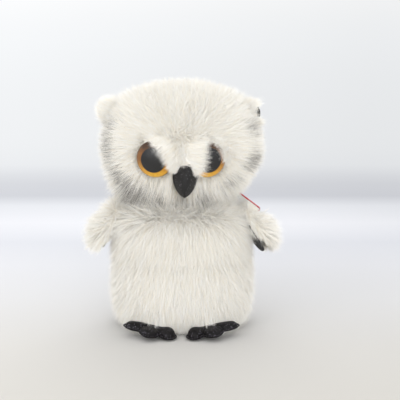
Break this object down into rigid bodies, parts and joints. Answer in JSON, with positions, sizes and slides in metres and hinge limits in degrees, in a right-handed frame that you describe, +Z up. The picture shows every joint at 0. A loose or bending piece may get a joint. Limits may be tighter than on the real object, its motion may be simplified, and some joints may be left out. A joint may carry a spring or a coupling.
{
  "type": "plush owl",
  "caption": "Small white long-pile plush owl with amber eyes, short ears, lined wings, black cloth feet and a blank swing tag.",
  "frame": {"origin": "middle of the base panel's underside, on the surface that the owl stands on", "axes": "+Z up, -Y the way the owl faces, +X to the owl's own left"},
  "size_m": [0.1154, 0.094, 0.146],
  "materials": {
    "white_pile": "matte",
    "base_cloth": "matte",
    "polyester_fibre": "matte",
    "pellet_bag_cloth": "matte",
    "black_glitter_cloth": "satin",
    "amber_lens": "gloss",
    "black_plastic": "gloss",
    "white_plastic": "satin",
    "tag_card": "satin",
    "satin_label": "satin"
  },
  "bodies": {
    "torso": {"torso_front_panel": "white_pile", "torso_back_panel_left": "white_pile", "torso_back_panel_right": "white_pile", "base_panel": "base_cloth", "pellet_bag": "pellet_bag_cloth", "torso_stuffing": "polyester_fibre", "care_label": "satin_label"},
    "neck": {"neck_collar": "base_cloth"},
    "head": {"head_front_panel": "white_pile", "head_back_panel": "white_pile", "head_stuffing": "polyester_fibre", "ear_left_tuft": "white_pile", "ear_left_lining": "black_glitter_cloth", "ear_right_tuft": "white_pile", "ear_right_lining": "black_glitter_cloth", "eye_left_lens": "amber_lens", "eye_left_core": "black_plastic", "eye_left_washer": "white_plastic", "eye_right_lens": "amber_lens", "eye_right_core": "black_plastic", "eye_right_washer": "white_plastic", "beak": "black_glitter_cloth"},
    "wing_left": {"wing_left_plush": "white_pile", "wing_left_lining": "black_glitter_cloth"},
    "wing_right": {"wing_right_plush": "white_pile", "wing_right_lining": "black_glitter_cloth"},
    "foot_left": {"foot_left_upper": "black_glitter_cloth", "foot_left_batting": "polyester_fibre", "foot_left_sole": "black_glitter_cloth"},
    "foot_right": {"foot_right_upper": "black_glitter_cloth", "foot_right_batting": "polyester_fibre", "foot_right_sole": "black_glitter_cloth"},
    "tag": {"tag_card": "tag_card", "tag_fastener": "white_plastic"}
  },
  "joints": [
    {"name": "head_turn", "type": "hinge", "parent": "torso", "child": "neck", "pos_m": [0, 0, 0.109], "axis": [0, 0, 1], "range_deg": [-20, 20], "stiffness_Nm_per_rad": 0.3},
    {"name": "head_nod", "type": "hinge", "parent": "neck", "child": "head", "pos_m": [0, 0, 0.109], "axis": [1, 0, 0], "range_deg": [-10, 10], "stiffness_Nm_per_rad": 0.3},
    {"name": "wing_left_lift", "type": "hinge", "parent": "torso", "child": "wing_left", "pos_m": [0.0395, 0, 0.068], "axis": [0, -1, 0], "range_deg": [0, 70], "stiffness_Nm_per_rad": 0.02},
    {"name": "wing_right_lift", "type": "hinge", "parent": "torso", "child": "wing_right", "pos_m": [-0.0395, 0, 0.068], "axis": [0, 1, 0], "range_deg": [0, 70], "stiffness_Nm_per_rad": 0.02},
    {"name": "foot_left_flex", "type": "hinge", "parent": "torso", "child": "foot_left", "pos_m": [0.017, -0.0307, 0.00519], "axis": [-0.9781, -0.2079, 0], "range_deg": [-12, 30], "stiffness_Nm_per_rad": 0.05},
    {"name": "foot_right_flex", "type": "hinge", "parent": "torso", "child": "foot_right", "pos_m": [-0.017, -0.0307, 0.00519], "axis": [-0.9781, 0.2079, 0], "range_deg": [-12, 30], "stiffness_Nm_per_rad": 0.05},
    {"name": "tag_lift", "type": "hinge", "parent": "torso", "child": "tag", "pos_m": [0.01899, 0.0145, 0.07569], "axis": [0.9659, -0.2588, 0], "range_deg": [0, 60]}
  ]
}
